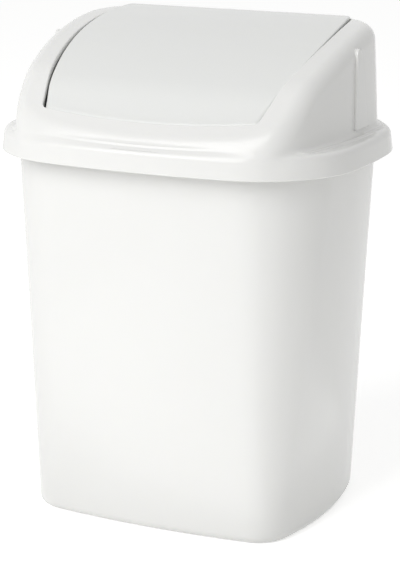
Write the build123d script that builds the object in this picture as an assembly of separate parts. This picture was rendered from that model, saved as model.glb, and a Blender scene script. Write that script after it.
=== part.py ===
"""Swing-lid kitchen bin: a tapered bucket, a hood that sits on its rim, and a flap that swings in the hood.

Millimetres, +Z up, front of the bin towards -Y. The origin is on the floor, at the middle of the bin.
"""
from build123d import *
from math import atan2, cos, hypot, radians, sin, sqrt, tan
import os

# Skirt band of the hood, the widest part of the bin
band_half_width = 170.0
band_half_depth = 130.0
band_corner = 93.0
band_side_bow = 1.2
band_front_bow = 4.2
band_height = 20.0
band_flare = 2.6
band_shoulder_round = 5.0
hood_wall = 2.2

# Bucket
bucket_rim_height = 347.8
bucket_base_half_width = 134.5
bucket_base_half_depth = 106.5
bucket_base_corner = 34.0
bucket_base_side_bow = 9.0
bucket_base_front_bow = 6.0
bucket_wall = 2.4
bucket_floor = 3.0
base_edge_round = 7.0
foot_ring_width = 16.0
foot_ring_height = 2.5
rim_clearance = 1.2
rim_flange_reach = 9.1
rim_flange_thickness = 2.4
rim_lip_height = 11.0
rim_edge_round = 2.2

# Upper hood, set back from the band by a ledge, with an arched top
ledge_width = 18.5
ledge_step_reach = 5.0
ledge_step_height = 1.4
flank_arc_radius = 435.0
flank_set_back = 25.0
flank_rear_corner = 61.0
flank_rear_bow = 3.0
flank_draft = 3.0
flank_front_round = 12.0
hood_rise = 91.7
hood_crown_set_back = 31.8
hood_crown_angle = 24.7
hood_brow_radius = 71.0
hood_apron_angle = 42.0
hood_apron_set_back = 0.7
ridge_round = 13.0

# Opening in the hood, between its two cheeks, its apron and its rear deck
apron_depth = 31.0
front_cheek_width = 49.0
rear_cheek_width = 37.8
rear_deck_depth = 13.8
opening_side_bow = 11.5
opening_front_bow = 6.0
opening_corner = 6.0
opening_lip_depth = 6.0

# Flap, whose arch lies below the hood's at the front and above it at the rear
flap_gap = 1.5
flap_wall = 2.2
flap_overlap = 3.5
flap_crown_behind = 9.8
flap_crown_rise = 2.6
flap_crown_angle = 29.2
flap_brow_radius = 78.7
flap_apron_angle = 44.1
flap_apron_set_back = 6.1
flap_edge_depth = 9.0
flap_front_round = 4.0
flap_seat_gap = 0.3

# Pivot of the flap and its counterweight tail
pivot_reach = 70.9
pivot_drop = 21.7
axle_radius = 4.0
axle_fit = 0.05
axle_tip_gap = 0.5
ear_radius = 10.0
ear_thickness = 2.2
tail_side_gap = 6.0
tail_gap = 1.3
tail_wall = 3.2
tail_low_angle = -62.0
tail_high_angle = 90.0

# Guides in the flanks that the flap's axles slide up in
guide_mouth_half_width = 12.0
guide_mouth_lift = 8.0
guide_bulge = 2.5
guide_wall = 1.8
guide_rib_height = 6.0
snap_bump_radius = 1.2
snap_bump_drop = 5.5

# Places that follow from the sizes above
ledge_height = bucket_rim_height + hood_wall
band_bottom_height = ledge_height - band_height
bucket_top_inset = band_flare + hood_wall + rim_clearance + rim_flange_reach
flank_half_width = band_half_width - ledge_width
flank_rear_half_depth = band_half_depth - ledge_width
hood_crown_y = band_half_depth - hood_crown_set_back
hood_crown_height = ledge_height + hood_rise
hood_foot_y = band_flare + hood_apron_set_back - band_half_depth
opening_front_y = apron_depth - band_half_depth
opening_rear_y = hood_crown_y - rear_deck_depth
opening_front_half_width = flank_half_width - front_cheek_width
opening_rear_half_width = flank_half_width - rear_cheek_width
flap_crown_y = hood_crown_y + flap_crown_behind
flap_crown_height = hood_crown_height + flap_crown_rise
flap_foot_y = hood_foot_y + flap_apron_set_back
flap_rear_y = opening_rear_y + flap_overlap
pivot_y = opening_rear_y - pivot_reach
pivot_height = hood_crown_height - pivot_drop
guide_mouth_height = ledge_height + guide_mouth_lift
headroom = flap_crown_height + band_height
beyond = 2 * band_half_width
hood_arch_sizes = (
    hood_crown_y, hood_crown_height, hood_foot_y, hood_crown_angle, hood_brow_radius, hood_apron_angle
)
flap_arch_sizes = (
    flap_crown_y, flap_crown_height, flap_foot_y, flap_crown_angle, flap_brow_radius, flap_apron_angle
)


def arc_radius(half_length, bow):
    """Radius of the arc that rises by bow over twice half_length."""
    return (half_length**2 + bow**2) / (2 * bow)


def corner_points(half_width, side_radius, half_depth, end_radius, corner):
    """Start, middle and end of the corner arc that is tangent to a bowed side and a bowed end."""
    side_x = half_width - side_radius
    end_y = half_depth - end_radius
    side_reach = side_radius - corner
    end_reach = end_radius - corner
    span = hypot(side_x, end_y)
    along = (side_reach**2 - end_reach**2 + span**2) / (2 * span)
    across = sqrt(side_reach**2 - along**2)
    unit_x, unit_y = -side_x / span, end_y / span
    centre_x = side_x + along * unit_x - across * unit_y
    centre_y = along * unit_y + across * unit_x
    side_angle = atan2(centre_y, centre_x - side_x)
    end_angle = atan2(centre_y - end_y, centre_x)
    angles = (side_angle, (side_angle + end_angle) / 2, end_angle)
    return [(centre_x + corner * cos(a), centre_y + corner * sin(a)) for a in angles]


def level_face(edges):
    """Face inside the edges, looking up."""
    face = make_face(Wire(edges)).face()
    return face if face.normal_at().Z > 0 else -face


def bowed_outline(half_width, half_depth, corner, side_bow, front_bow):
    """Face of a rounded rectangle whose four sides bow outwards, tangent to its corners."""
    side_radius = arc_radius(half_depth - corner, side_bow)
    end_radius = arc_radius(half_width - corner, front_bow)
    start, middle, end = corner_points(half_width, side_radius, half_depth, end_radius, corner)
    edges = []
    for sign_x, sign_y in ((1, 1), (-1, 1), (-1, -1), (1, -1)):
        edges.append(ThreePointArc(*[(sign_x * x, sign_y * y) for x, y in (start, middle, end)]))
    for sign in (1, -1):
        side = [(sign * start[0], -start[1]), (sign * half_width, 0), (sign * start[0], start[1])]
        front = [(-end[0], sign * end[1]), (0, sign * half_depth), (end[0], sign * end[1])]
        edges += [ThreePointArc(*side), ThreePointArc(*front)]
    return level_face(edges)


def bucket_outline(height, inset):
    """Outline of the tapered bucket at a height, moved inwards by inset."""
    share = height / bucket_rim_height

    def between(base, top):
        return base + (top - base) * share

    return Pos(0, 0, height) * bowed_outline(
        between(bucket_base_half_width, band_half_width - bucket_top_inset) - inset,
        between(bucket_base_half_depth, band_half_depth - bucket_top_inset) - inset,
        between(bucket_base_corner, band_corner - bucket_top_inset) - inset,
        between(bucket_base_side_bow, band_side_bow),
        between(bucket_base_front_bow, band_front_bow),
    )


def bucket_block(bottom, inset):
    """Solid inside the bucket's drafted walls, from a height up to the rim, moved inwards by inset."""
    block = loft([bucket_outline(bottom, inset), bucket_outline(bucket_rim_height, inset)], ruled=True)
    return fillet(block.edges().group_by(Axis.Z)[0], base_edge_round - inset)


def make_bucket():
    """Tub with a rounded base edge, a ring to stand on, and a rim with a turned-down lip."""
    hollow = bucket_block(foot_ring_height + bucket_floor, bucket_wall)
    recess = extrude(bucket_outline(0, foot_ring_width), foot_ring_height)
    rim = extrude(bucket_outline(bucket_rim_height, -rim_flange_reach), -rim_lip_height)
    rim = fillet(rim.edges().group_by(Axis.Z)[-1], rim_edge_round)
    inside_lip = bucket_outline(bucket_rim_height, rim_flange_thickness - rim_flange_reach)
    under_flange = Pos(0, 0, -rim_flange_thickness) * extrude(inside_lip, -rim_lip_height)
    return bucket_block(0, 0) + (rim - under_flange) - hollow - recess


def band_outline(height, inset):
    """Outline of the hood's flared skirt at a height, moved inwards by inset."""
    move = inset + band_flare * (height - band_bottom_height) / band_height
    return Pos(0, 0, height) * bowed_outline(
        band_half_width - move, band_half_depth - move, band_corner - move, band_side_bow, band_front_bow
    )


def flank_move(height):
    """How far the drafted flank has leaned in at a height."""
    return (height - ledge_height) * tan(radians(flank_draft))


def flank_x(y, move):
    """Half width between the arched flanks at a distance behind the middle, moved inwards by move."""
    behind_widest = y - flank_set_back
    return flank_half_width - flank_arc_radius + sqrt((flank_arc_radius - move) ** 2 - behind_widest**2)


def flank_outline(height, inset):
    """Plan of the upper hood: arched flanks, a round-cornered rear, and a front that runs past the band."""
    move = inset + flank_move(height)
    rear = flank_rear_half_depth - move
    rear_radius = arc_radius(flank_half_width - flank_rear_corner, flank_rear_bow)
    corner = corner_points(
        flank_half_width - move, flank_arc_radius - move, rear - flank_set_back, rear_radius,
        flank_rear_corner - move,
    )
    start, middle, end = [(x, y + flank_set_back) for x, y in corner]
    front_y = -band_half_depth
    front_x = flank_x(front_y, move)
    edges = [ThreePointArc((-end[0], end[1]), (0, rear), end), Line((-front_x, front_y), (front_x, front_y))]
    for sign in (1, -1):
        points = [(sign * x, y) for x, y in (start, middle, end)]
        edges.append(ThreePointArc(*points))
        edges.append(ThreePointArc((sign * front_x, front_y), (sign * flank_x(0, move), 0), points[0]))
    return Pos(0, 0, height) * level_face(edges)


def flank_block(inset):
    """Solid between the drafted flanks, from the foot of the band to above the hood."""
    return loft([flank_outline(band_bottom_height, inset), flank_outline(headroom, inset)], ruled=True)


def ledge_column(height, inset):
    """Outline of the band at the ledge, moved inwards by inset and lifted straight up to a height."""
    return Pos(0, 0, height - ledge_height) * band_outline(ledge_height, inset)


def upper_outline(height, inset):
    """Plan of the upper hood, inside the flanks and the ledge's outline, its two front corners rounded."""
    plan = (flank_outline(height, inset) & ledge_column(height, inset)).face()
    front = plan.vertices().filter_by_position(Axis.Y, -beyond, 0).sort_by(Axis.X)
    return plan.fillet_2d(flank_front_round - inset, [front[0], front[-1]])


def crown_radius(crown_y, crown_height, foot_y, crown_angle, brow_radius, apron_angle):
    """Radius of the crown arc that brings the apron's slope down to foot_y at the ledge."""
    turn, slope = radians(crown_angle), radians(apron_angle)
    brow_y = brow_radius * (sin(turn) - sin(slope))
    brow_drop = brow_radius * (cos(turn) - cos(slope))
    run_left = foot_y - crown_y - brow_y + (crown_height - ledge_height - brow_drop) / tan(slope)
    return run_left / ((1 - cos(turn)) / tan(slope) - sin(turn))


def arched_block(crown_y, crown_height, foot_y, crown_angle, brow_radius, apron_angle, inset):
    """Solid under an arched skin: flat behind the crown, two arcs, then a straight slope to the front."""
    turn, slope = radians(crown_angle), radians(apron_angle)
    radius = crown_radius(crown_y, crown_height, foot_y, crown_angle, brow_radius, apron_angle)
    crown_centre = (crown_y, crown_height - radius)
    reach = radius - brow_radius
    brow_centre = (crown_centre[0] - reach * sin(turn), crown_centre[1] + reach * cos(turn))

    def on_arc(centre, arc, angle):
        return (centre[0] - (arc - inset) * sin(angle), centre[1] + (arc - inset) * cos(angle))

    crown = on_arc(crown_centre, radius, 0)
    shoulder = on_arc(brow_centre, brow_radius, turn)
    apron = on_arc(brow_centre, brow_radius, slope)
    foot = (apron[0] - apron[1] / tan(slope), 0)
    wire = Wire([
        ThreePointArc(crown, on_arc(crown_centre, radius, turn / 2), shoulder),
        ThreePointArc(shoulder, on_arc(brow_centre, brow_radius, (turn + slope) / 2), apron),
        Line(apron, foot),
        Line(foot, (beyond, 0)),
        Line((beyond, 0), (beyond, crown[1])),
        Line((beyond, crown[1]), crown),
    ])
    return extrude(Plane.YZ * make_face(wire), beyond, both=True)


def hood_arch(inset):
    """Solid under the hood's arched skin."""
    return arched_block(*hood_arch_sizes, inset)


def hood_form(inset):
    """The hood as one lump, moved inwards by inset: the skirt band and the arched upper part."""
    band = loft([band_outline(band_bottom_height, inset), band_outline(ledge_height - inset, inset)], ruled=True)
    band = fillet(band.edges().group_by(Axis.Z)[-1], band_shoulder_round - inset)
    plans = [upper_outline(height, inset) for height in (band_bottom_height, headroom)]
    upper = loft(plans, ruled=True) & hood_arch(inset)
    ridge = [edge for edge in upper.edges() if min(v.Z for v in edge.vertices()) > band_bottom_height]
    return band + fillet(ridge, ridge_round - inset)


def opening_half_width(y, inset):
    """Half width of the flap's opening at a distance behind the middle, moved inwards by inset."""
    step_x = opening_rear_half_width - opening_front_half_width
    step_y = opening_rear_y - opening_front_y
    chord = hypot(step_x, step_y)
    radius = arc_radius(chord / 2, opening_side_bow)
    reach = (radius - opening_side_bow) / chord
    centre_x = (opening_front_half_width + opening_rear_half_width) / 2 - step_y * reach
    centre_y = (opening_front_y + opening_rear_y) / 2 + step_x * reach
    return centre_x + sqrt((radius - inset) ** 2 - (y - centre_y) ** 2)


def opening_outline(inset, rear_y):
    """Plan of the flap's opening, moved inwards by inset, with its rear edge at rear_y."""
    front_y = opening_front_y + inset
    middle_y = (front_y + rear_y) / 2
    front_x, middle_x, rear_x = [opening_half_width(y, inset) for y in (front_y, middle_y, rear_y)]
    edges = [
        ThreePointArc((-front_x, front_y), (0, front_y - opening_front_bow), (front_x, front_y)),
        ThreePointArc((front_x, front_y), (middle_x, middle_y), (rear_x, rear_y)),
        Line((rear_x, rear_y), (-rear_x, rear_y)),
        ThreePointArc((-rear_x, rear_y), (-middle_x, middle_y), (-front_x, front_y)),
    ]
    face = level_face(edges)
    return fillet(face.vertices().sort_by(Axis.Y)[:2], opening_corner - inset)


def at_pivot(face):
    """Side view drawn about the pivot, put in its place."""
    return Pos(pivot_y, pivot_height) * face


def side_prism(face, start_x, end_x):
    """Solid of a side view, from one distance off the middle plane to another."""
    return Pos(start_x, 0, 0) * extrude(Plane.YZ * face, end_x - start_x)


def guide_face(grow):
    """Side view of the axle's guide, a round seat over a mouth that widens downwards, grown by grow."""
    seat = axle_radius + axle_fit + grow
    mouth = guide_mouth_half_width + grow
    bottom = guide_mouth_height - grow - pivot_height
    funnel = Polygon((-seat, 0), (-mouth, bottom), (mouth, bottom), (seat, 0), align=None)
    return at_pivot(funnel + Circle(seat))


def rib_face():
    """Side view of the ribs beside the groove, which leave its mouth open below."""
    below = Rectangle(beyond, beyond, align=(Align.CENTER, Align.MAX))
    return guide_face(guide_wall) - at_pivot(Pos(0, guide_mouth_height - pivot_height) * below)


def groove_face():
    """Side view of the groove in the guide, with two bumps under the seat that the axle snaps past."""
    seat = axle_radius + axle_fit
    widening = (guide_mouth_half_width - seat) / (pivot_height - guide_mouth_height)
    bump_y = seat + widening * snap_bump_drop
    bump = Circle(snap_bump_radius)
    bumps = Pos(-bump_y, -snap_bump_drop) * bump + Pos(bump_y, -snap_bump_drop) * bump
    return guide_face(0) - at_pivot(bumps)


def both_sides(solid):
    """A solid and its mirror image about the middle plane."""
    return solid + mirror(solid, Plane.YZ)


def guide_solid(face, block):
    """The side view as a solid in each flank, inside a block."""
    return both_sides(side_prism(face, opening_rear_half_width, beyond) & block)


def make_hood():
    """Moulded hood: skirt band, ledge, arched cheeks round the flap's opening, and the axle guides."""
    inside = hood_form(hood_wall)
    step_plan = flank_outline(ledge_height - band_shoulder_round, -ledge_step_reach)
    step_edge = ledge_column(ledge_height - band_shoulder_round, ledge_step_reach)
    step_height = band_shoulder_round + ledge_step_height
    step = extrude(step_plan, step_height) & extrude(step_edge, step_height)
    lip_plan = opening_outline(-hood_wall, opening_rear_y + hood_wall)
    lip = (extrude(lip_plan, headroom) & hood_arch(0)) - hood_arch(opening_lip_depth)
    guide = guide_face(guide_wall)
    ribs = guide_solid(rib_face(), flank_block(hood_wall / 2) - flank_block(hood_wall + guide_rib_height))
    hood = hood_form(0) + step + guide_solid(guide, flank_block(-guide_bulge)) - inside
    hood += lip + (ribs & inside)
    hood -= guide_solid(groove_face(), flank_block(hood_wall - guide_bulge))
    return hood - extrude(opening_outline(0, opening_rear_y), headroom)


def flap_arch(inset):
    """Solid under the flap's arched skin."""
    return arched_block(*flap_arch_sizes, inset)


def flap_plan(inset):
    """Tall block with the flap's plan, moved inwards by inset."""
    return extrude(opening_outline(flap_gap + inset, flap_rear_y - inset), headroom)


def tail_radius():
    """Reach of the tail from the pivot, just clear of the lower corner of the opening's rear lip."""
    radius = crown_radius(*hood_arch_sizes)
    lip_height = hood_crown_height - radius + sqrt((radius - opening_lip_depth) ** 2 - rear_deck_depth**2)
    return hypot(pivot_reach, lip_height - pivot_height) - tail_gap


def tail_sector(radius):
    """Side view of a pie slice about the pivot, from the tail's low end to its top."""
    angles = (tail_low_angle, (tail_low_angle + tail_high_angle) / 2, tail_high_angle)
    low, middle, high = [(radius * cos(radians(a)), radius * sin(radians(a))) for a in angles]
    return at_pivot(level_face([Line((0, 0), low), ThreePointArc(low, middle, high), Line(high, (0, 0))]))


def make_flap():
    """Curved flap with turned-down edges, a counterweight tail, and an axle on each side."""
    block = flap_plan(0) & flap_arch(0)
    rounded_to = opening_front_y + flap_gap + opening_corner
    front_edges = [
        edge for edge in block.edges()
        if edge.center().Y < rounded_to and min(v.Z for v in edge.vertices()) > ledge_height
    ]
    block = fillet(front_edges, flap_front_round)
    above_floor = (Align.CENTER, Align.MIN, Align.MIN)
    over_deck = Pos(0, opening_rear_y - flap_gap, 0) * Box(beyond, beyond, headroom, align=above_floor)
    tray = block - flap_arch(flap_edge_depth) - (flap_plan(flap_wall) & flap_arch(flap_wall))
    tray -= hood_arch(-flap_seat_gap) & over_deck
    half_width = opening_half_width(pivot_y, flap_gap + flap_wall + tail_side_gap)
    ear_x = half_width - ear_thickness
    slice_face = tail_sector(tail_radius())
    tail = side_prism(slice_face - at_pivot(Circle(tail_radius() - tail_wall)), -half_width, half_width)
    webs = both_sides(side_prism(slice_face + at_pivot(Circle(ear_radius)), ear_x, half_width))
    tip_move = flank_move(pivot_height + axle_radius) + hood_wall - guide_bulge
    tip_x = min(flank_x(pivot_y + side * axle_radius, tip_move) for side in (-1, 1)) - axle_tip_gap
    axles = both_sides(side_prism(at_pivot(Circle(axle_radius)), ear_x, tip_x))
    return tray + ((tail + webs) & flap_arch(flap_wall / 2)) + axles


os.makedirs("parts", exist_ok=True)
for name, make in (("bucket", make_bucket), ("lid_hood", make_hood), ("swing_flap", make_flap)):
    export_step(make(), f"parts/{name}.step")
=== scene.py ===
# %% [markdown]
# A kitchen bin with a swing lid, made of three mouldings of white polypropylene: a bucket, a hood on its
# rim and a flap that swings in the hood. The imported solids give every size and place. They are loaded
# first. Each piece is then made again in the same place, from smooth, closed surfaces: one for the
# bucket, one for the hood and its guides, and one each for the flap, its tail, its webs and its axles.

# %% Frame
from math import atan2, cos, hypot, pi, radians, sin, sqrt, tan

import bmesh
import bpy
import numpy as np
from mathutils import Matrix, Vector


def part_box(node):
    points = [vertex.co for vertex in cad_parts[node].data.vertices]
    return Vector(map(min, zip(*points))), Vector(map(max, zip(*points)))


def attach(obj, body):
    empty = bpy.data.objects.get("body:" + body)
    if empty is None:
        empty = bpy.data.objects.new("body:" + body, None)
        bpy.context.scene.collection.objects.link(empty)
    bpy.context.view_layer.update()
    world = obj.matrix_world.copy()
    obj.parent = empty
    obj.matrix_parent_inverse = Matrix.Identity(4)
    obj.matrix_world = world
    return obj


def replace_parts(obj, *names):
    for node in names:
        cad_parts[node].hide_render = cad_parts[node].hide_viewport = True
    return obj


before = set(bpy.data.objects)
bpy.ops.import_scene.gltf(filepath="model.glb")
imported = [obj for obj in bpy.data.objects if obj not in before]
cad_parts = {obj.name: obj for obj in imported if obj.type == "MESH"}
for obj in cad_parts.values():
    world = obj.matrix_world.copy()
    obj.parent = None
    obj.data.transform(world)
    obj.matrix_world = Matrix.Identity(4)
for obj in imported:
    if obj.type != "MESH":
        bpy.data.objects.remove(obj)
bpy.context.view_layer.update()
METRE = 1000.0

# %% [markdown]
# The camera stands in front of the bin, to its right and a little above the rim, about 1.8 m away. Its
# lens follows from the focal length in pixels of a picture 570 pixels high, the picture's long side.

# %% Camera
SENSOR = 36.0
PICTURE_HEIGHT = 570
FOCAL_PIXELS = 1960.5
AZIMUTH, ELEVATION, DISTANCE = 25.44, 15.03, 1.799
AIM = Vector((0.0028, 0.0, 0.2011))


def direction(azimuth, elevation):
    """Unit vector from the bin towards a place at those angles, azimuth 0 being straight in front."""
    a, e = radians(azimuth), radians(elevation)
    return Vector((sin(a) * cos(e), -cos(a) * cos(e), sin(e)))


def aim_from(thing, azimuth, elevation, distance, target):
    """Puts a camera or lamp at those angles and distance from the target, looking at it."""
    back = direction(azimuth, elevation)
    thing.location = target + back * distance
    thing.rotation_mode = "QUATERNION"
    thing.rotation_quaternion = (-back).to_track_quat("-Z", "Y")


camera = bpy.data.objects.new("camera", bpy.data.cameras.new("camera"))
bpy.context.scene.collection.objects.link(camera)
camera.data.sensor_width = SENSOR
camera.data.lens = FOCAL_PIXELS * SENSOR / PICTURE_HEIGHT
aim_from(camera, AZIMUTH, ELEVATION, DISTANCE, AIM)
bpy.context.scene.camera = camera
print("lens in mm:", round(camera.data.lens, 1))

# %% [markdown]
# A material is a small graph of nodes. One helper adds a node with its settings and links, so that a
# recipe reads as a list of what feeds what. Colours are written as on a screen and turned to linear.

# %% Node helpers


def linear(hex_colour):
    """Linear RGBA of an sRGB hex colour such as "F0F0EE"."""
    parts = np.array([int(hex_colour[i:i + 2], 16) for i in (0, 2, 4)]) / 255
    low, high = parts / 12.92, ((parts + 0.055) / 1.055) ** 2.4
    return (*np.where(parts <= 0.04045, low, high), 1.0)


def add_node(tree, kind, settings=None, **inputs):
    """Adds a node; a value that is a socket is linked, and any other value is set on the input."""
    node = tree.nodes.new(kind)
    for name, value in (settings or {}).items():
        setattr(node, name, value)
    for name, value in inputs.items():
        socket = node.inputs[int(name[1:])] if name[1:].isdigit() else node.inputs[name.replace("_", " ")]
        if isinstance(value, bpy.types.NodeSocket):
            tree.links.new(value, socket)
        else:
            socket.default_value = value
    return node


def seen_directly(tree):
    """Socket that is 1 for rays from the camera, in a reflection or through glass."""
    path = add_node(tree, "ShaderNodeLightPath")
    either = add_node(tree, "ShaderNodeMath", {"operation": "MAXIMUM"},
                      i0=path.outputs["Is Camera Ray"], i1=path.outputs["Is Glossy Ray"])
    all_three = add_node(tree, "ShaderNodeMath", {"operation": "MAXIMUM"},
                         i0=either.outputs[0], i1=path.outputs["Is Transmission Ray"])
    return all_three.outputs[0]


# %% [markdown]
# The bin stands in a white photo studio. The world is white where it is looked at and a dimmer, even
# light for the object. The floor is matt white paper that keeps the bin's shadow; a little emission,
# seen only directly and in reflections, lifts the lit paper to the white of the backdrop. A large
# softbox lights the front from the left and above, and a small one fills the right side. Flat panels of
# light lie on the floor in front and to the right, where a photographer puts reflectors: the bucket's
# walls lean down towards them, and the front panel's right edge ends the bright front at the corner.

# %% Studio
AMBIENT = 0.47
PAPER_LIFT = 0.52
FLOOR_HALF = 6.0
PANEL_HEIGHT = 0.004

world = bpy.data.worlds.new("studio")
bpy.context.scene.world = world
world.use_nodes = True
tree = world.node_tree
tree.nodes.clear()
strength = add_node(tree, "ShaderNodeMapRange", Value=seen_directly(tree), To_Min=AMBIENT, To_Max=1.0)
backdrop = add_node(tree, "ShaderNodeBackground", Color=linear("FFFFFF"), Strength=strength.outputs[0])
add_node(tree, "ShaderNodeOutputWorld", Surface=backdrop.outputs[0])

paper = bpy.data.materials.new("matt_paper")
paper.use_nodes = True
tree = paper.node_tree
tree.nodes.clear()
lift = add_node(tree, "ShaderNodeMath", {"operation": "MULTIPLY"}, i0=seen_directly(tree), i1=PAPER_LIFT)
fibre = add_node(tree, "ShaderNodeTexNoise", Scale=900.0, Detail=2.0)
sheet_bump = add_node(tree, "ShaderNodeBump", Strength=0.05, Distance=0.0002, Height=fibre.outputs[0])
sheet_diffuse = add_node(tree, "ShaderNodeBsdfDiffuse", Color=linear("F7F7F6"), Normal=sheet_bump.outputs[0])
sheet_glow = add_node(tree, "ShaderNodeEmission", Color=linear("FFFFFF"), Strength=lift.outputs[0])
sheet_sum = add_node(tree, "ShaderNodeAddShader", i0=sheet_diffuse.outputs[0], i1=sheet_glow.outputs[0])
add_node(tree, "ShaderNodeOutputMaterial", Surface=sheet_sum.outputs[0])

floor_corners = [(x * FLOOR_HALF, y * FLOOR_HALF, 0.0) for x, y in ((-1, -1), (1, -1), (1, 1), (-1, 1))]
floor_mesh = bpy.data.meshes.new("floor")
floor_mesh.from_pydata(floor_corners, [], [(0, 1, 2, 3)])
floor_mesh.materials.append(paper)
floor = bpy.data.objects.new("floor", floor_mesh)
bpy.context.scene.collection.objects.link(floor)


def soft_lamp(name, azimuth, elevation, distance, size, power):
    """Square area lamp aimed at the middle of the bin."""
    lamp = bpy.data.objects.new(name, bpy.data.lights.new(name, "AREA"))
    bpy.context.scene.collection.objects.link(lamp)
    lamp.data.size = size
    lamp.data.energy = power
    aim_from(lamp, azimuth, elevation, distance, AIM)


def floor_panel(name, x, y, azimuth, width, length, power):
    """Panel of light on the floor, from its near right corner along its right edge's azimuth."""
    lamp = bpy.data.objects.new(name, bpy.data.lights.new(name, "AREA"))
    bpy.context.scene.collection.objects.link(lamp)
    lamp.data.shape, lamp.data.size, lamp.data.size_y, lamp.data.energy = "RECTANGLE", width, length, power
    along, across = direction(azimuth, 0) * length, direction(azimuth - 90, 0) * width
    lamp.location = Vector((x, y, PANEL_HEIGHT)) + along / 2 + across / 2
    lamp.rotation_euler = (pi, 0, radians(azimuth))
    lamp.visible_camera = False


soft_lamp("front_softbox", azimuth=-20, elevation=38, distance=2.4, size=1.6, power=27.0)
soft_lamp("right_softbox", azimuth=85, elevation=6, distance=2.6, size=1.2, power=1.5)
floor_panel("front_floor_panel", x=0.150, y=-0.135, azimuth=18, width=0.75, length=1.0, power=1.0)
floor_panel("right_floor_panel", x=0.22, y=0.25, azimuth=90, width=0.42, length=0.6, power=0.3)
bpy.context.scene.view_settings.view_transform = "Standard"

# %% [markdown]
# All three pieces are injection-moulded polypropylene, coloured white in the melt. It is a waxy, half
# glossy plastic: a refractive index of 1.49, a soft reflection, and a little light that enters and
# comes out a millimetre away. A moulded wall is never quite flat, so a slow swell some 40 mm long
# bends the reflections, and the tool's fine spark texture breaks them up. That grain is about 0.05 mm
# on the real part, and is drawn at 0.6 mm so that it shows at all.

# %% Polypropylene
SWELL_LENGTH, GRAIN_LENGTH, FLOW_LENGTH = 0.040, 0.0006, 0.120
SWELL_HEIGHT, GRAIN_HEIGHT = 0.0012, 0.00004
ROUGHNESS_SPREAD = 0.04


def polypropylene(name, colour, shade, roughness):
    """White moulded polypropylene; shade is the slightly greyer tone of its flow marks."""
    material = bpy.data.materials.new(name)
    material.use_nodes = True
    tree = material.node_tree
    tree.nodes.clear()
    place = add_node(tree, "ShaderNodeTexCoord").outputs["Object"]
    swell = add_node(tree, "ShaderNodeTexNoise", Vector=place, Scale=1 / SWELL_LENGTH, Detail=1.0)
    grain = add_node(tree, "ShaderNodeTexNoise", Vector=place, Scale=1 / GRAIN_LENGTH, Detail=2.0)
    flow = add_node(tree, "ShaderNodeTexNoise", Vector=place, Scale=1 / FLOW_LENGTH, Detail=3.0)
    tone = add_node(tree, "ShaderNodeMix", {"data_type": "RGBA"},
                    i0=flow.outputs[0], i6=linear(colour), i7=linear(shade))
    rough = add_node(tree, "ShaderNodeMapRange", Value=grain.outputs[0],
                     To_Min=roughness - ROUGHNESS_SPREAD, To_Max=roughness + ROUGHNESS_SPREAD)
    waves = add_node(tree, "ShaderNodeBump", Strength=0.10, Distance=SWELL_HEIGHT, Height=swell.outputs[0])
    relief = add_node(tree, "ShaderNodeBump", Strength=0.05, Distance=GRAIN_HEIGHT,
                      Height=grain.outputs[0], Normal=waves.outputs[0])
    shader = add_node(tree, "ShaderNodeBsdfPrincipled", Base_Color=tone.outputs[2],
                      Roughness=rough.outputs[0], Normal=relief.outputs[0], IOR=1.49,
                      Subsurface_Weight=0.15, Subsurface_Radius=(1.0, 1.0, 0.9), Subsurface_Scale=0.0012)
    add_node(tree, "ShaderNodeOutputMaterial", Surface=shader.outputs[0])
    return material


FINISHES = {
    "bucket": polypropylene("moulded_polypropylene_bucket", "F2F2F0", "F0F0EE", 0.20),
    "lid_hood": polypropylene("moulded_polypropylene_hood", "F2F2F0", "F0F0EE", 0.20),
    "swing_flap": polypropylene("moulded_polypropylene_flap", "EFF0EE", "EDEEEC", 0.22),
}

# %% [markdown]
# Each surface is a closed skin. Its shape is a grid of points: the columns run round the piece and the
# rows follow its section, from the middle of the underside, out and up, and back to the middle of the
# top. A grid keeps the faces in the direction of the form, so that reflections run smoothly. Points
# that fall on one another are joined.

# %% Grid to mesh
SAME_POINT = 0.000001
HALVINGS = 26


def skin(name, points, body, finish, poles=True):
    """Closed mesh of points (rows, columns, 3) in mm; the rows end in two poles or else close in a ring."""
    rows, columns = points.shape[:2]
    index = np.arange(rows * columns).reshape(rows, columns)
    if not poles:
        index = np.vstack([index, index[:1]])
    beside = np.roll(index, -1, axis=1)
    faces = np.stack([index[:-1], beside[:-1], beside[1:], index[1:]], axis=-1).reshape(-1, 4).tolist()
    vertices = points.reshape(-1, 3)
    if poles:
        first = np.full(columns, rows * columns)
        faces += np.stack([first, beside[0], index[0]], axis=-1).tolist()
        faces += np.stack([index[-1], beside[-1], first + 1], axis=-1).tolist()
        vertices = np.vstack([vertices, points[0].mean(axis=0), points[-1].mean(axis=0)])
    mesh = bpy.data.meshes.new(name)
    mesh.from_pydata((vertices / METRE).tolist(), [], faces)
    form = bmesh.new()
    form.from_mesh(mesh)
    bmesh.ops.remove_doubles(form, verts=form.verts, dist=SAME_POINT)
    form.to_mesh(mesh)
    form.free()
    mesh.polygons.foreach_set("use_smooth", np.ones(len(mesh.polygons), dtype=bool))
    mesh.materials.append(finish)
    piece = bpy.data.objects.new(name, mesh)
    bpy.context.scene.collection.objects.link(piece)
    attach(piece, body)
    print(name, "has", len(mesh.vertices), "vertices")
    return piece


def last_inside(test, near, far):
    """Where the test stops holding between near and far, found by halving the span again and again."""
    for _ in range(HALVINGS):
        middle = (near + far) / 2
        inside = test(middle)
        near, far = np.where(inside, middle, near), np.where(inside, far, middle)
    return near


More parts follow.
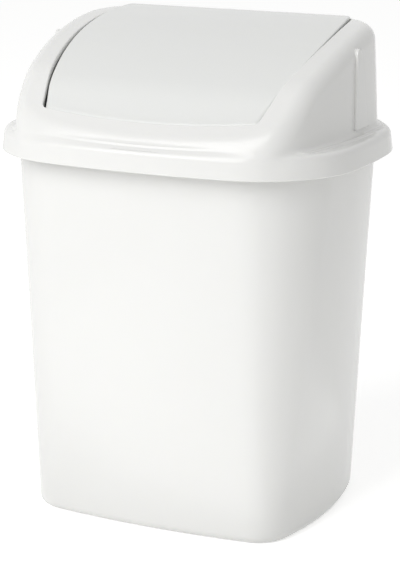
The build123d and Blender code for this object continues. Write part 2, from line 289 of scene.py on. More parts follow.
def rounded_path(points, radii, turn_steps=6, guard=0.3, stride=12.0):
    """Path through points (a, b), each inner corner an arc of its radius, straight runs cut at a stride.

    A guard point beside each arc keeps its round shading from spreading over the flat beside it.
    """
    points = np.array(points, float)
    path = [points[:1]]
    for before, corner, after, radius in zip(points, points[1:], points[2:], radii):
        back, on = before - corner, after - corner
        back, on = back / np.hypot(*back), on / np.hypot(*on)
        half_angle = np.arccos(np.clip(back @ on, -1, 1)) / 2
        reach = radius / np.tan(half_angle)
        centre = corner + (back + on) / np.hypot(*(back + on)) * radius / np.sin(half_angle)
        start, end = corner + back * reach - centre, corner + on * reach - centre
        share = np.linspace(0, 1, turn_steps + 1)[:, None]
        spread = pi - 2 * half_angle
        arc = (np.sin((1 - share) * spread) * start + np.sin(share * spread) * end) / np.sin(spread)
        path += [corner + back[None] * (reach + guard), centre + arc, corner + on[None] * (reach + guard)]
    path = np.vstack(path + [points[-1:]])
    steps = np.hypot(*np.diff(path, axis=0).T)
    cuts = np.maximum(1, np.ceil(steps / stride)).astype(int)
    ends = np.cumsum(cuts)
    return np.stack([np.interp(np.arange(ends[-1] + 1), np.r_[0, ends], axis) for axis in path.T], axis=1)


# %% [markdown]
# Seen from above every outline of the bin is made of arcs that touch: a bowed front, side and rear, and
# a round corner between each two. A circle is (centre x, centre y, radius). A corner's centre is where
# the two sides' circles, drawn smaller by the corner's radius, cross.

# %% Outlines of touching arcs


def bow_radius(half_length, bow):
    """Radius of an arc that rises by bow over twice half_length."""
    return (half_length**2 + bow**2) / (2 * bow)


def corner_centre(side, end, corner, way):
    """Centre of the corner circle inside the side and the end circle; way is 1 at the rear, -1 in front."""
    reach_side, reach_end = side[2] - corner, end[2] - corner
    apart_x, apart_y = end[0] - side[0], way * (end[1] - side[1])
    span = np.hypot(apart_x, apart_y)
    along = (reach_side**2 - reach_end**2 + span**2) / (2 * span)
    across = np.sqrt(reach_side**2 - along**2)
    centre_x = side[0] + (along * apart_x - across * apart_y) / span
    centre_y = side[1] + way * (along * apart_y + across * apart_x) / span
    return centre_x, centre_y


def meeting_angles(front, side, rear, front_corner, rear_corner):
    """Corner centres, and the four angles at which the five arcs of the right half meet."""
    front_x, front_y = corner_centre(side, front, front_corner, -1)
    rear_x, rear_y = corner_centre(side, rear, rear_corner, 1)
    angles = (
        np.arctan2(front_y - front[1], front_x), np.arctan2(front_y - side[1], front_x - side[0]),
        np.arctan2(rear_y - side[1], rear_x - side[0]), np.arctan2(rear_y - rear[1], rear_x),
    )
    return (front_x, front_y), (rear_x, rear_y), angles


def outline(shape, inset, counts):
    """Loop round the outline moved inwards by inset, from the middle of the front, anticlockwise seen from
    above; counts are the points on the front, corner, side, corner and rear of one half."""
    front, side, rear, front_corner, rear_corner = shape
    first, second, angles = meeting_angles(*shape)
    arcs = zip(
        ((0, front[1]), first, side[:2], second, (0, rear[1])),
        (front[2], front_corner, side[2], rear_corner, rear[2]),
        (-pi / 2, *angles), (*angles, pi / 2), counts,
    )
    xs, ys = [], []
    for (centre_x, centre_y), radius, start, end, count in arcs:
        angle = start + (end - start) * np.linspace(0, 1, count, endpoint=False)
        xs.append(centre_x + (radius - inset) * np.cos(angle))
        ys.append(centre_y + (radius - inset) * np.sin(angle))
    rear_middle = rear[1] + rear[2] - inset + 0 * xs[-1][..., :1]
    right_x, right_y = np.concatenate(xs, axis=-1), np.concatenate(ys, axis=-1)
    x = np.concatenate([right_x, 0 * rear_middle, -right_x[..., :0:-1]], axis=-1)
    y = np.concatenate([right_y, rear_middle, right_y[..., :0:-1]], axis=-1)
    return x, y


def bowed_shape(half_width, half_depth, corner, side_bow, front_bow):
    """Outline shape of a rounded rectangle with four bowed sides."""
    side_radius = bow_radius(half_depth - corner, side_bow)
    end_radius = bow_radius(half_width - corner, front_bow)
    front, rear = (0, end_radius - half_depth, end_radius), (0, half_depth - end_radius, end_radius)
    return front, (half_width - side_radius, 0, side_radius), rear, corner, corner


# %% [markdown]
# The bucket tapers from its rim to its base. Its section is a short path of insets from the outer wall
# and heights: the foot ring it stands on, the rounded base edge, the wall, the rim with its turned-down
# lip, and then the inside down to the floor. Each height has its own outline, which changes evenly from
# the base's to the rim's. An outline is half a width, half a depth, a corner's radius and two bows.

# %% Bucket
FLANGE_REACH, BUCKET_INSET = 9.1, 15.1
BAND_CORNER, BAND_SIDE_BOW, BAND_FRONT_BOW = 93.0, 1.2, 4.2
RIM_HALF_WIDTH, RIM_HALF_DEPTH, RIM_HEIGHT = np.array(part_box("bucket")[1]) * METRE
TOP = np.array([
    RIM_HALF_WIDTH - FLANGE_REACH, RIM_HALF_DEPTH - FLANGE_REACH, BAND_CORNER - BUCKET_INSET,
    BAND_SIDE_BOW, BAND_FRONT_BOW,
])
BASE = np.array([134.5, 106.5, 34.0, 9.0, 6.0])
BUCKET_WALL, BUCKET_FLOOR, FOOT_HEIGHT, FOOT_WIDTH, BASE_ROUND = 2.4, 3.0, 2.5, 16.0, 7.0
PAN_RUN, FLANGE_ONLY = 10.0, -1.0
FLANGE_THICKNESS, LIP_HEIGHT, RIM_ROUND, SOFT_EDGE = 2.4, 11.0, 2.2, 0.9
BUCKET_COUNTS = (22, 30, 26, 30, 22)
BASE_RINGS = np.linspace(0.06, 1, 14, endpoint=False)

floor_top = FOOT_HEIGHT + BUCKET_FLOOR
pan_inset = FOOT_WIDTH + PAN_RUN
under_flange, lip_bottom = RIM_HEIGHT - FLANGE_THICKNESS, RIM_HEIGHT - LIP_HEIGHT
bucket_path = rounded_path(
    [
        (pan_inset, FOOT_HEIGHT), (FOOT_WIDTH, FOOT_HEIGHT), (FOOT_WIDTH, 0), (0, 0), (0, under_flange),
        (FLANGE_THICKNESS - FLANGE_REACH, under_flange), (FLANGE_THICKNESS - FLANGE_REACH, lip_bottom),
        (-FLANGE_REACH, lip_bottom), (-FLANGE_REACH, RIM_HEIGHT), (BUCKET_WALL, RIM_HEIGHT),
        (BUCKET_WALL, floor_top), (pan_inset, floor_top),
    ],
    (SOFT_EDGE, SOFT_EDGE, BASE_ROUND, SOFT_EDGE, SOFT_EDGE, SOFT_EDGE, SOFT_EDGE, RIM_ROUND, SOFT_EDGE,
     BASE_ROUND - BUCKET_WALL),
)


def bucket_points(path):
    """Grid of the bucket: its outline at each height of the path, moved inwards by the path's inset.

    The flange hangs straight down, so all of it has the rim's outline.
    """
    inset, height = path[:, :1], path[:, 1:]
    share = np.where(inset < FLANGE_ONLY, 1, height / RIM_HEIGHT)
    sizes = [BASE[i] + (TOP[i] - BASE[i]) * share for i in range(len(BASE))]
    x, y = outline(bowed_shape(*sizes), inset, BUCKET_COUNTS)
    return np.stack([x, y, height + 0 * x], axis=-1)


def with_pans(points, rings):
    """Adds shrinking copies of the first and last rows, which fill the middle of both ends."""
    lower, upper = points[:1] * rings[:, None, None], points[-1:] * rings[::-1, None, None]
    lower[..., 2], upper[..., 2] = points[0, 0, 2], points[-1, 0, 2]
    return np.vstack([lower, points, upper])


bucket_skin = skin("bucket_moulding", with_pans(bucket_points(bucket_path), BASE_RINGS), "bucket",
                   FINISHES["bucket"])
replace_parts(bucket_skin, "bucket")

# %% [markdown]
# The hood and the flap are arched. Seen from the side, an arch is level behind its crown and falls to
# the front in a large arc, a smaller one over the brow, and a straight slope. Its foot, its crown and
# its angles are given, and the large arc's radius follows from them.

# %% Arches
HOOD_WALL = 2.2
LEDGE = RIM_HEIGHT + HOOD_WALL


def arch_parts(crown_y, crown_height, foot_y, crown_angle, brow_radius, apron_angle):
    """Crown circle and brow circle, each (y, z, radius), and the angles where crown, brow and slope meet."""
    turn, slope = radians(crown_angle), radians(apron_angle)
    brow_run = brow_radius * (sin(turn) - sin(slope))
    brow_drop = brow_radius * (cos(turn) - cos(slope))
    run_left = foot_y - crown_y - brow_run + (crown_height - LEDGE - brow_drop) / tan(slope)
    radius = run_left / ((1 - cos(turn)) / tan(slope) - sin(turn))
    reach = radius - brow_radius
    brow = (crown_y - reach * sin(turn), crown_height - radius + reach * cos(turn), brow_radius)
    return (crown_y, crown_height - radius, radius), brow, turn, slope


def arch_height(arch, y, depth):
    """Height at y of the arched skin, moved inwards by depth."""
    crown, brow, turn, slope = arch
    small, large = brow[2] - depth, crown[2] - depth
    turn_y, slope_y = brow[0] - small * sin(turn), brow[0] - small * sin(slope)
    on_slope = brow[1] + small * cos(slope) + (y - slope_y) * tan(slope)
    on_brow = brow[1] + np.sqrt(np.maximum(small**2 - (y - brow[0])**2, 0))
    on_crown = crown[1] + np.sqrt(large**2 - np.minimum(y - crown[0], 0)**2)
    return np.where(y < slope_y, on_slope, np.where(y < turn_y, on_brow, on_crown))


def arch_distance(arch, y, z):
    """Distance above the arched skin, square to the crown, brow or slope that faces the point."""
    crown, brow, turn, slope = arch
    angle = np.arctan2(brow[0] - y, z - brow[1])
    by_crown = np.hypot(np.minimum(y - crown[0], 0), z - crown[1]) - crown[2]
    by_brow = np.hypot(y - brow[0], z - brow[1]) - brow[2]
    by_slope = (brow[0] - y) * sin(slope) + (z - brow[1]) * cos(slope) - brow[2]
    return np.where(angle > slope, by_slope, np.where(angle > turn, by_brow, by_crown))


HOOD_LOW, HOOD_HIGH = (np.array(corner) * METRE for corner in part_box("lid_hood"))
HALF_WIDTH, HALF_DEPTH = HOOD_HIGH[0], HOOD_HIGH[1]
HOOD_CROWN_Y, HOOD_CROWN, HOOD_FOOT_Y = HALF_DEPTH - 31.8, LEDGE + 91.7, 3.3 - HALF_DEPTH
HOOD_ARCH = arch_parts(
    HOOD_CROWN_Y, HOOD_CROWN, HOOD_FOOT_Y, crown_angle=24.7, brow_radius=71.0, apron_angle=42.0
)
FLAP_CROWN_Y, FLAP_CROWN, FLAP_FOOT_Y = HOOD_CROWN_Y + 9.8, HOOD_CROWN + 2.6, HOOD_FOOT_Y + 6.1
FLAP_ARCH = arch_parts(
    FLAP_CROWN_Y, FLAP_CROWN, FLAP_FOOT_Y, crown_angle=29.2, brow_radius=78.7, apron_angle=44.1
)
print("crown radii in mm:", round(HOOD_ARCH[0][2], 1), round(FLAP_ARCH[0][2], 1))

# %% [markdown]
# The hood is too round in too many directions for one formula. It is worked out as a distance instead:
# negative inside the moulding and zero on its skin. The skirt band, the flanks and the arch each give a
# distance. Two of them are joined by functions that also round the edge between them, as the tool's
# fillets do: one keeps what is inside both, the other what is inside either.

# %% Hood as a distance
BAND_BOTTOM = HOOD_LOW[2]
BAND_HEIGHT = LEDGE - BAND_BOTTOM
BAND_FLARE, SHOULDER_ROUND, RIDGE_ROUND, FOOT_ROUND, FRONT_ROUND = 2.6, 5.0, 13.0, 4.0, 14.0
STEP_REACH, STEP_HEIGHT, STEP_SOFT = 5.0, 1.6, 1.2
FLANK_DRAFT, FLANK_REAR_BOW = tan(radians(3.0)), 3.0
LEDGE_WIDTH = 18.5
BAND = bowed_shape(HALF_WIDTH, HALF_DEPTH, BAND_CORNER, BAND_SIDE_BOW, BAND_FRONT_BOW)
FLANK_HALF, REAR_HALF = HALF_WIDTH - LEDGE_WIDTH, HALF_DEPTH - LEDGE_WIDTH
FLANK_ARC, FLANK_SET_BACK, FLANK_CORNER = 435.0, 25.0, 61.0
REAR_ARC = bow_radius(FLANK_HALF - FLANK_CORNER, FLANK_REAR_BOW)
FLANK_SIDE = (FLANK_HALF - FLANK_ARC, FLANK_SET_BACK, FLANK_ARC)
FLANK_REAR = (0, REAR_HALF - REAR_ARC, REAR_ARC)


def inside_both(a, b, radius):
    """Distance to what lies inside both, their common edge rounded."""
    past_a, past_b = np.maximum(a + radius, 0), np.maximum(b + radius, 0)
    return np.minimum(np.maximum(a, b), -radius) + np.hypot(past_a, past_b)


def inside_either(a, b, radius):
    """Distance to what lies inside either, the corner between them filled round."""
    short_of_a, short_of_b = np.maximum(radius - a, 0), np.maximum(radius - b, 0)
    return np.maximum(np.minimum(a, b), radius) - np.hypot(short_of_a, short_of_b)


def outline_distance(x, y, side, end, corner, way):
    """Distance outside the side, the corner or the end arc, whichever faces the point."""
    corner_x, corner_y = corner_centre(side, end, corner, way)
    angle = np.arctan2(way * (y - corner_y), x - corner_x)
    side_angle = atan2(way * (corner_y - side[1]), corner_x - side[0])
    end_angle = atan2(way * (corner_y - end[1]), corner_x)
    by_side = np.hypot(x - side[0], y - side[1]) - side[2]
    by_end = np.hypot(x, y - end[1]) - end[2]
    by_corner = np.hypot(x - corner_x, y - corner_y) - corner
    return np.where(angle < side_angle, by_side, np.where(angle > end_angle, by_end, by_corner))


def plan_distances(x, y):
    """Distances outside the band's outline at its foot and outside the flanks' outline at the ledge."""
    front, side, rear, front_corner, rear_corner = BAND
    ahead = outline_distance(x, y, side, front, front_corner, -1)
    behind = outline_distance(x, y, side, rear, rear_corner, 1)
    flank_behind = outline_distance(x, y, FLANK_SIDE, FLANK_REAR, FLANK_CORNER, 1)
    flank_ahead = np.hypot(x - FLANK_SIDE[0], y - FLANK_SIDE[1]) - FLANK_ARC
    return np.where(y > 0, behind, ahead), np.where(y > 0, flank_behind, flank_ahead)


def hood_distance(x, y, z):
    """Distance outside the hood, taken as a solid lump."""
    band_edge, flank = plan_distances(np.abs(x), y)
    column = band_edge + BAND_FLARE
    walls = inside_both(flank + (z - LEDGE) * FLANK_DRAFT, column, FRONT_ROUND)
    upper = inside_both(walls, arch_distance(HOOD_ARCH, y, z), RIDGE_ROUND)
    beyond_step = np.maximum(flank - STEP_REACH, column + STEP_REACH) / STEP_SOFT
    ledge = LEDGE + STEP_HEIGHT * np.clip(0.5 - beyond_step, 0, 1)
    lean = BAND_FLARE * np.clip((z - BAND_BOTTOM) / BAND_HEIGHT, 0, 1)
    return inside_either(upper, inside_both(band_edge + lean, z - ledge, SHOULDER_ROUND), FOOT_ROUND)


# %% [markdown]
# The opening for the flap is an outline seen from above, with a lip turned down round it. Its sides bow
# outwards and its rear edge is straight, which is an arc of a very large radius here.

# %% Opening
APRON_DEPTH, REAR_DECK, FRONT_CHEEK, REAR_CHEEK = 31.0, 13.8, 49.0, 37.8
OPENING_FRONT, OPENING_REAR = APRON_DEPTH - HALF_DEPTH, HOOD_CROWN_Y - REAR_DECK
FRONT_HALF, BACK_HALF = FLANK_HALF - FRONT_CHEEK, FLANK_HALF - REAR_CHEEK
SIDE_BOW, FRONT_BOW = 11.5, 6.0
OPENING_CORNER, DECK_CORNER = 6.0, 2.0
NEARLY_STRAIGHT = 20000.0


def opening_shape(rear_y, front_corner, rear_corner):
    """Outline shape of the opening, which bows at the sides and front and is straight behind."""
    step_x, step_y = BACK_HALF - FRONT_HALF, OPENING_REAR - OPENING_FRONT
    middle_x, middle_y = (FRONT_HALF + BACK_HALF) / 2, (OPENING_FRONT + OPENING_REAR) / 2
    chord = hypot(step_x, step_y)
    radius = bow_radius(chord / 2, SIDE_BOW)
    reach = (radius - SIDE_BOW) / chord
    side = (middle_x - step_y * reach, middle_y + step_x * reach, radius)
    front_radius = bow_radius(FRONT_HALF, FRONT_BOW)
    front = (0, OPENING_FRONT - FRONT_BOW + front_radius, front_radius)
    return front, side, (0, rear_y - NEARLY_STRAIGHT, NEARLY_STRAIGHT), front_corner, rear_corner


OPENING = opening_shape(OPENING_REAR, OPENING_CORNER, DECK_CORNER)
print("opening in mm:", round(2 * FRONT_HALF, 1), "wide in front,", round(2 * BACK_HALF, 1), "behind")

# %% [markdown]
# The mesh of the hood runs from the band's foot up to the opening, in as many upright sections as the
# outline has points. Each section has rows spaced along the sharp, unrounded form: up the band, over
# the ledge, up the flank and along the arch. A ray from a point inside goes through each of them, and
# the skin is where the ray leaves the hood. The rows crowd together near the corners of the form.

# %% Hood rows
HOOD_COUNTS = (30, 56, 44, 52, 26)
SKIRT_START = BAND_BOTTOM + 3.0
RAY_HEIGHT, RAY_BEYOND, RAY_FOOT = LEDGE - 8.0, 14.0, 0.7
LEAST_RUNS = np.array([16.0, 5.0, 10.0, 24.0])
LEAST = 0.01
CROWDING = 0.75


def crowded(count):
    """Shares from 0 up to 1, that one left out, closer together near both ends."""
    share = np.linspace(0, 1, count, endpoint=False)
    return share - CROWDING * np.sin(2 * pi * share) / (2 * pi)


def hit(origin, target, level):
    """Where the rays from origin through target cross the hood's distance at a level."""
    way = target - origin

    def inside(share):
        return hood_distance(*np.moveaxis(origin + way * share[..., None], -1, 0)) < level

    far = 1 + RAY_BEYOND / np.linalg.norm(way, axis=-1)
    return origin + way * last_inside(inside, np.zeros(way.shape[:-1]), far)[..., None]


def flank_feet(middle, top):
    """Where the flank meets the ledge, on the lines from the middle places out to the band's top edge."""

    def inside(share):
        place = middle + (top - middle) * share[:, None]
        band_edge, flank = plan_distances(np.abs(place[:, 0]), place[:, 1])
        return np.maximum(band_edge + BAND_FLARE, flank) < 0

    return middle + (top - middle) * last_inside(inside, np.zeros(len(top)), np.ones(len(top)))[:, None]


def row_places(runs, counts):
    """How far along each section its rows lie, and its corners; a short run gets the rows of a least one."""
    start = np.zeros(runs.shape[1])
    corners = np.vstack([start, np.cumsum(runs, axis=0)])
    spaced = np.vstack([start, np.cumsum(np.maximum(runs, LEAST_RUNS[:, None]), axis=0)])
    spaced = spaced * corners[-1] / spaced[-1]
    rows = [low + (high - low) * crowded(count)[:, None]
            for low, high, count in zip(spaced, spaced[1:], counts)]
    return np.vstack(rows + [spaced[-1:]]), corners


def hood_rows(counts, level, edge_run):
    """Rows of the hood's skin at a level, from the band's foot to the edge of the opening."""
    lean = BAND_FLARE * (SKIRT_START - BAND_BOTTOM) / BAND_HEIGHT
    foot = np.stack(outline(BAND, lean, HOOD_COUNTS), axis=-1)
    top = np.stack(outline(BAND, BAND_FLARE, HOOD_COUNTS), axis=-1)
    edge = np.stack(outline(OPENING, -edge_run, HOOD_COUNTS), axis=-1)
    middle = foot + RAY_FOOT * (edge - foot)
    flank_foot = flank_feet(middle, top)
    ridge_height = np.maximum(arch_height(HOOD_ARCH, flank_foot[:, 1], 0), LEDGE + LEAST)
    edge_height = arch_height(HOOD_ARCH, edge[:, 1], 0)
    runs = np.stack([
        np.full(len(top), LEDGE - SKIRT_START), np.hypot(*(top - flank_foot).T) + LEAST,
        ridge_height - LEDGE, np.hypot(np.hypot(*(edge - flank_foot).T), edge_height - ridge_height),
    ])
    places, corners = row_places(runs, counts)
    up, over, climb, along = [np.clip((places - corners[i]) / runs[i], 0, 1)[..., None] for i in range(4)]
    plan = foot + up * (top - foot) + over * (flank_foot - top) + along * (edge - flank_foot)
    height = SKIRT_START + up[..., 0] * (LEDGE - SKIRT_START) + climb[..., 0] * (ridge_height - LEDGE)
    height = np.where(along[..., 0] > 0, arch_height(HOOD_ARCH, plan[..., 1], 0), height)
    target = np.concatenate([plan, height[..., None]], axis=-1)
    origin = np.concatenate([middle + 0 * plan, np.minimum(height, RAY_HEIGHT)[..., None]], axis=-1)
    return hit(origin, target, level)


# %% [markdown]
# The outer and the inner skin are joined by two more strips: the lip that is turned down round the
# opening, and the hem at the foot of the band. Together the four strips close in a ring.

# %% Hood moulding
LIP_DEPTH, EDGE_RUN = 6.0, 3.0
LIP_EDGE_ROUND, LIP_ROUND, HEM_INNER_ROUND, HEM_OUTER_ROUND = 1.2, 0.8, 0.9, 1.1
OUTER_ROWS, INNER_ROWS = (14, 24, 34, 40), (8, 12, 18, 20)


def lip_points(path):
    """Rows round the opening: its outline moved by the path's inset, at the path's depth under the arch."""
    x, y = outline(OPENING, path[:, :1], HOOD_COUNTS)
    return np.stack([x, y, arch_height(HOOD_ARCH, y, path[:, 1:])], axis=-1)


def hem_points(path):
    """Rows round the foot of the band: its outline moved by the path's inset, at the path's height."""
    lean = BAND_FLARE * (path[:, 1:] - BAND_BOTTOM) / BAND_HEIGHT
    x, y = outline(BAND, path[:, :1] + lean, HOOD_COUNTS)
    return np.stack([x, y, path[:, 1:] + 0 * x], axis=-1)


lip_path = rounded_path(
    [(-HOOD_WALL - EDGE_RUN, 0), (0, 0), (0, LIP_DEPTH), (-HOOD_WALL, LIP_DEPTH), (-HOOD_WALL, HOOD_WALL),
     (-HOOD_WALL - EDGE_RUN, HOOD_WALL)],
    (LIP_EDGE_ROUND, LIP_ROUND, LIP_ROUND, LIP_ROUND),
)
hem_path = rounded_path(
    [(HOOD_WALL, SKIRT_START), (HOOD_WALL, BAND_BOTTOM), (0, BAND_BOTTOM), (0, SKIRT_START)],
    (HEM_INNER_ROUND, HEM_OUTER_ROUND),
)
outer = hood_rows(OUTER_ROWS, 0.0, HOOD_WALL + EDGE_RUN)
inner = hood_rows(INNER_ROWS, -HOOD_WALL, HOOD_WALL + EDGE_RUN)
hood_points = np.vstack([outer, lip_points(lip_path[1:-1]), inner[::-1], hem_points(hem_path[1:-1])])
hood_skin = skin("hood_moulding", hood_points, "lid_hood", FINISHES["lid_hood"], poles=False)
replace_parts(hood_skin, "lid_hood")

# %% [markdown]
# The flap is a thin tray turned upside down. Its arch starts lower than the hood's at the front and
# ends higher at the rear, where its short rear edge rests just above the hood's deck. Its front edge is
# rounder than its sides. Its section is again a path: an inset from the flap's outline and a depth
# under its arch.

# %% Flap
FLAP_GAP, FLAP_OVERLAP, FLAP_WALL, FLAP_EDGE, SEAT_GAP = 1.5, 3.5, 2.2, 9.0, 0.3
FLAP_SHAPE = opening_shape(OPENING_REAR + FLAP_OVERLAP + FLAP_GAP, OPENING_CORNER, OPENING_CORNER)
FLAP_COUNTS = (30, 14, 90, 14, 30)
FLAP_RINGS = np.linspace(0.04, 1, 34, endpoint=False)
RIM_WIDTH, INSIDE_ROUND, EDGE_ROUND, SIDE_ROUND, FRONT_EDGE_ROUND = 4.3, 0.9, 0.6, 1.0, 4.0
FRONT_START, FRONT_RUN, DECK_RUN = 22.0, 14.0, 0.5


def flap_path(edge_round):
    """Section of the flap's rim, from under the skin, round its turned-down edge, to the top."""
    return rounded_path(
        [(RIM_WIDTH, FLAP_WALL), (FLAP_WALL, FLAP_WALL), (FLAP_WALL, FLAP_EDGE), (0, FLAP_EDGE), (0, 0),
         (RIM_WIDTH, 0)],
        (INSIDE_ROUND, EDGE_ROUND, EDGE_ROUND, edge_round), guard=0.1, stride=4.0,
    )


def flap_points(path):
    """Grid of the flap's rim; the part behind the opening's rear edge stays above the hood's deck."""
    x, y = outline(FLAP_SHAPE, FLAP_GAP + path[:, :1], FLAP_COUNTS)
    z = arch_height(FLAP_ARCH, y, path[:, 1:])
    deck = arch_height(HOOD_ARCH, y, -SEAT_GAP)
    over_deck = np.clip((y - OPENING_REAR + FLAP_GAP) / DECK_RUN, 0, 1)
    z = np.maximum(z, deck * over_deck + (1 - over_deck) * z)
    return np.stack([x, y, z], axis=-1)


side_rim, front_rim = flap_points(flap_path(SIDE_ROUND)), flap_points(flap_path(FRONT_EDGE_ROUND))
frontness = np.clip((OPENING_FRONT + FRONT_START - side_rim[..., 1:2]) / FRONT_RUN, 0, 1)
flap_rim = side_rim + (front_rim - side_rim) * frontness**2 * (3 - 2 * frontness)


def flap_panel(row, depth):
    """Rows that shrink from a rim row to the middle of the flap, on the arch at a depth."""
    centre = np.array([0, (OPENING_FRONT + OPENING_REAR) / 2, 0])
    panel = centre + (row - centre) * FLAP_RINGS[:, None, None]
    panel[..., 2] = arch_height(FLAP_ARCH, panel[..., 1], depth)
    return panel


flap_grid = np.vstack([flap_panel(flap_rim[0], FLAP_WALL), flap_rim, flap_panel(flap_rim[-1], 0)[::-1]])
flap_skin = skin("flap_panel", flap_grid, "swing_flap", FINISHES["swing_flap"])
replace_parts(flap_skin, "swing_flap")

# %% [markdown]
# The flap turns on two axles. Each stands on a web under the flap's side, and a curved tail joins the two
# webs: it closes the gap behind the flap as it swings, and its weight brings the flap back. The tail
# reaches as far from the pivot as the opening's rear lip lets it. A web is a flat plate whose outline is
# drawn from the pivot: round the ear, out to the tail and along the flap's underside.

# %% Pivot and tail
PIVOT_Y, PIVOT_Z = OPENING_REAR - 70.9, HOOD_CROWN - 21.7
AXLE, AXLE_GAP, AXLE_CHAMFER, EAR, WEB = 4.0, 0.5, 0.7, 10.0, 2.2
TAIL_WALL, TAIL_GAP, TAIL_SIDE_GAP, TAIL_ROUND = 3.2, 1.3, 6.0, 0.8
TAIL_LOW, TAIL_TOP = radians(-62.0), radians(18.0)
EMBED = 1.1
WEB_RINGS = np.array([0.1, 0.4, 0.7, 0.97, 1.0])
WEB_EDGE = 0.2

lip_height = float(arch_height(HOOD_ARCH, OPENING_REAR, LIP_DEPTH))
TAIL_REACH = hypot(OPENING_REAR - PIVOT_Y, lip_height - PIVOT_Z) - TAIL_GAP


def circle_reach(circle, shrink, y):
    """How far out a side's circle, drawn smaller by shrink, lies at y."""
    return circle[0] + np.sqrt((circle[2] - shrink)**2 - (y - circle[1])**2)


def flank_reach(y, z, depth):
    """How far out the flank's skin, moved inwards by depth, lies at a place in the side view."""
    return circle_reach(FLANK_SIDE, depth + (z - LEDGE) * FLANK_DRAFT, y)


WEB_OUTER = float(circle_reach(OPENING[1], 0, PIVOT_Y)) - FLAP_GAP - FLAP_WALL - TAIL_SIDE_GAP
AXLE_END = float(flank_reach(PIVOT_Y, PIVOT_Z + AXLE, HOOD_WALL)) - AXLE_GAP


def box_loop(half_a, half_b, soft, turn=3):
    """Loop round a rectangle with softened corners, as (a, b) pairs."""
    angle = np.concatenate([np.linspace(i, i + 1, turn + 1) for i in range(4)]) * pi / 2
    signs = np.repeat([(1, 1), (-1, 1), (-1, -1), (1, -1)], turn + 1, axis=0)
    corner = signs * (np.array([half_a, half_b]) - soft)
    return corner + soft * np.stack([np.cos(angle), np.sin(angle)], axis=1)


def about_pivot(x, radius, angle):
    """Points at a distance and an angle from the pivot in the side view, and at x across the bin."""
    y, z = PIVOT_Y + radius * np.cos(angle), PIVOT_Z + radius * np.sin(angle)
    return np.stack([x + 0 * y, y, z], axis=-1)


def tail_points():
    """Arc about the pivot, swept with a flat section as wide as the webs."""
    angle = np.linspace(TAIL_LOW, TAIL_TOP, 40)[:, None]
    section = box_loop(WEB_OUTER, TAIL_WALL / 2, TAIL_ROUND)
    return about_pivot(section[:, 0], TAIL_REACH - TAIL_WALL / 2 + section[:, 1] + 0 * angle, angle)


def web_points():
    """Flat plate: an ear round the axle and a slice that reaches the tail and the flap's underside."""
    slice_angle = np.linspace(TAIL_LOW, pi / 2, 90)
    ear_angle = np.linspace(pi / 2, 2 * pi + TAIL_LOW, 50)

    def under_flap(reach):
        place = about_pivot(0, reach, slice_angle)
        return place[:, 2] < arch_height(FLAP_ARCH, place[:, 1], EMBED)

    far = np.full(slice_angle.shape, TAIL_REACH - EMBED)
    reach = np.maximum(last_inside(under_flap, 0 * far, far), EAR)
    radius = np.concatenate([reach, np.full(ear_angle.shape, EAR)])
    share = np.concatenate([WEB_RINGS, WEB_RINGS[::-1]])[:, None]
    inner_face = np.where(WEB_RINGS < 1, 0, WEB_EDGE)
    across = WEB_OUTER - WEB + WEB * np.concatenate([inner_face, 1 - inner_face[::-1]])[:, None]
    return about_pivot(across, share * radius, np.concatenate([slice_angle, ear_angle]))


def axle_points():
    """Round pin from the web's inner face to just short of the flank's wall, its end chamfered."""
    angle = np.linspace(0, 2 * pi, 40, endpoint=False)
    root = WEB_OUTER - WEB
    radius = np.array([AXLE / 2, AXLE, AXLE, AXLE, AXLE - AXLE_CHAMFER, AXLE / 2])[:, None]
    across = np.array([root, root, (root + AXLE_END) / 2, AXLE_END - AXLE_CHAMFER, AXLE_END, AXLE_END])
    return about_pivot(across[:, None], radius, angle)


def both_sides(name, points, body, finish, node):
    """Adds the grid on the right, and on the left its mirror image with the columns the other way."""
    for side, word in ((1, "right"), (-1, "left")):
        placed = points if side > 0 else points[:, ::-1] * (-1, 1, 1)
        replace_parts(skin(f"{name}_{word}", placed, body, finish), node)


tail = skin("flap_tail", tail_points(), "swing_flap", FINISHES["swing_flap"])
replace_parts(tail, "swing_flap")
both_sides("flap_web", web_points(), "swing_flap", FINISHES["swing_flap"], "swing_flap")
both_sides("flap_axle", axle_points(), "swing_flap", FINISHES["swing_flap"], "swing_flap")
print("tail reach and axle end in mm:", round(TAIL_REACH, 1), round(AXLE_END, 1))

# %% [markdown]
# The axles sit in guides on the flanks. Seen from the side a guide is a round seat over a mouth that
# widens downwards, so that the hood can be pressed on over the axles. It is raised on the flank's
# outside, and framed by a rib on its inside that is open below.

# %% Guides
SEAT, GUIDE_WALL, GUIDE_BULGE, RIB_HEIGHT, RIB_ROUND = 4.05, 1.8, 2.5, 6.0, 0.5
MOUTH_HALF, MOUTH_Z = 12.0, LEDGE + 8.0
BULGE_FOOT_POINTS = 12


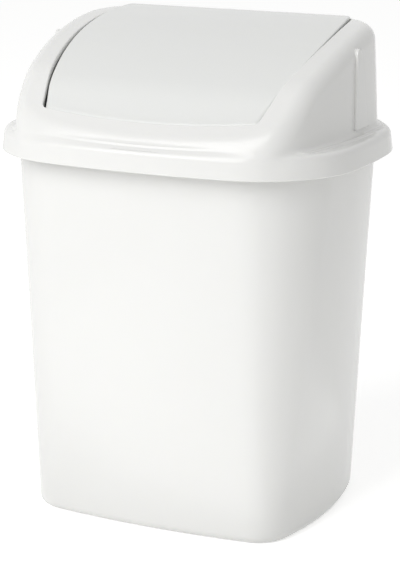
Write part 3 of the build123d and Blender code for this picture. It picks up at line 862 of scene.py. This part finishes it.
def guide_path(grow, foot, count=24):
    """The guide in side view, grown by grow: up one side of the funnel, over the seat and down the other."""
    over = np.linspace(pi, 0, count)
    seat = SEAT + grow
    arch = np.stack([PIVOT_Y + seat * np.cos(over), PIVOT_Z + seat * np.sin(over)], axis=1)
    rise = np.linspace(0, 1, count, endpoint=False)[:, None]
    spread = MOUTH_HALF + grow
    left = np.array([[PIVOT_Y - spread, foot]]) * (1 - rise) + arch[:1] * rise
    right = np.array([[PIVOT_Y + spread, foot]]) * (1 - rise) + arch[-1:] * rise
    return np.vstack([left, arch, right[::-1]])


def bulge_points():
    """Raised guide on the flank's outside, from inside the wall out to its softened edge and face."""
    loop = guide_path(GUIDE_WALL, MOUTH_Z - GUIDE_WALL)
    loop = np.vstack([loop, np.linspace(loop[-1], loop[0], BULGE_FOOT_POINTS)[1:-1]])
    centre = np.array([PIVOT_Y, (PIVOT_Z + MOUTH_Z) / 2])
    share = np.array([0.3, 0.6, 1, 1, 0.995, 0.985, 0.965, 0.93, 0.6, 0.3])[:, None, None]
    below_face = np.array([0.6, 0.3, 0.1, 0, 0, 0, 0])
    depth = np.concatenate([np.full(3, EMBED), below_face - GUIDE_BULGE])[:, None]
    y, z = np.moveaxis(centre + (loop - centre) * share, -1, 0)
    return np.stack([flank_reach(y, z, depth), y, z], axis=-1)[:, ::-1]


def rib_points():
    """Rib round the groove on the flank's inside, its mouth open below."""
    path = guide_path(GUIDE_WALL / 2, MOUTH_Z)
    along = np.gradient(path, axis=0)
    across = np.stack([-along[:, 1], along[:, 0]], axis=1) / np.hypot(*along.T)[:, None]
    section = box_loop(GUIDE_WALL / 2, (HOOD_WALL + RIB_HEIGHT - EMBED) / 2, RIB_ROUND)
    y, z = np.moveaxis(path[:, None] + across[:, None] * section[None, :, :1], -1, 0)
    depth = (HOOD_WALL + RIB_HEIGHT + EMBED) / 2 + section[:, 1]
    return np.stack([flank_reach(y, z, depth), y, z], axis=-1)[:, ::-1]


both_sides("guide_bulge", bulge_points(), "lid_hood", FINISHES["lid_hood"], "lid_hood")
both_sides("guide_rib", rib_points(), "lid_hood", FINISHES["lid_hood"], "lid_hood")
